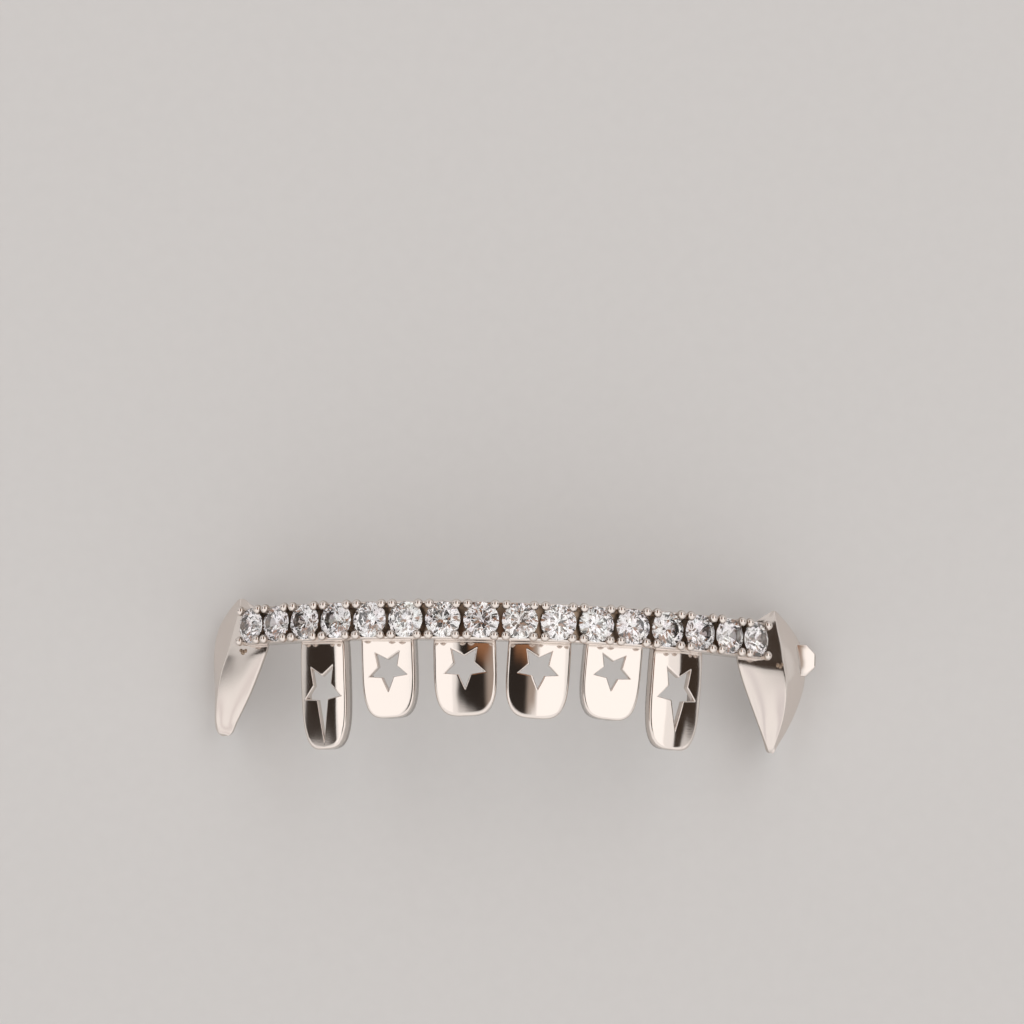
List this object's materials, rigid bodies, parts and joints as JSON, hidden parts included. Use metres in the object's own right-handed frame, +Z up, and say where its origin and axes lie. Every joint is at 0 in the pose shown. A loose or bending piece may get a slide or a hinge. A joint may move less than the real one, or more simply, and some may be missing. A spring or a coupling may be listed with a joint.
{
  "type": "tooth grill",
  "caption": "Lower grill for the front teeth: a curved bar of round stones with bead prongs, tooth caps cut with stars, and a pointed fang at each end.",
  "frame": {"origin": "middle of the part's box, on the surface that it lies on", "axes": "+X along the bar, to the end that has the lug; +Y to the edge of the bar away from the caps; +Z up, out of the mouth"},
  "size_m": [0.045, 0.0116, 0.0153],
  "materials": {
    "polished_metal": "mirror-polished white metal with a slightly warm tone",
    "clear_stone": "clear faceted round stones"
  },
  "bodies": {
    "root": {"metal_frame": "polished_metal", "stone_01": "clear_stone", "stone_02": "clear_stone", "stone_03": "clear_stone", "stone_04": "clear_stone", "stone_05": "clear_stone", "stone_06": "clear_stone", "stone_07": "clear_stone", "stone_08": "clear_stone", "stone_09": "clear_stone", "stone_10": "clear_stone", "stone_11": "clear_stone", "stone_12": "clear_stone", "stone_13": "clear_stone", "stone_14": "clear_stone", "stone_15": "clear_stone", "stone_16": "clear_stone"}
  },
  "joints": []
}
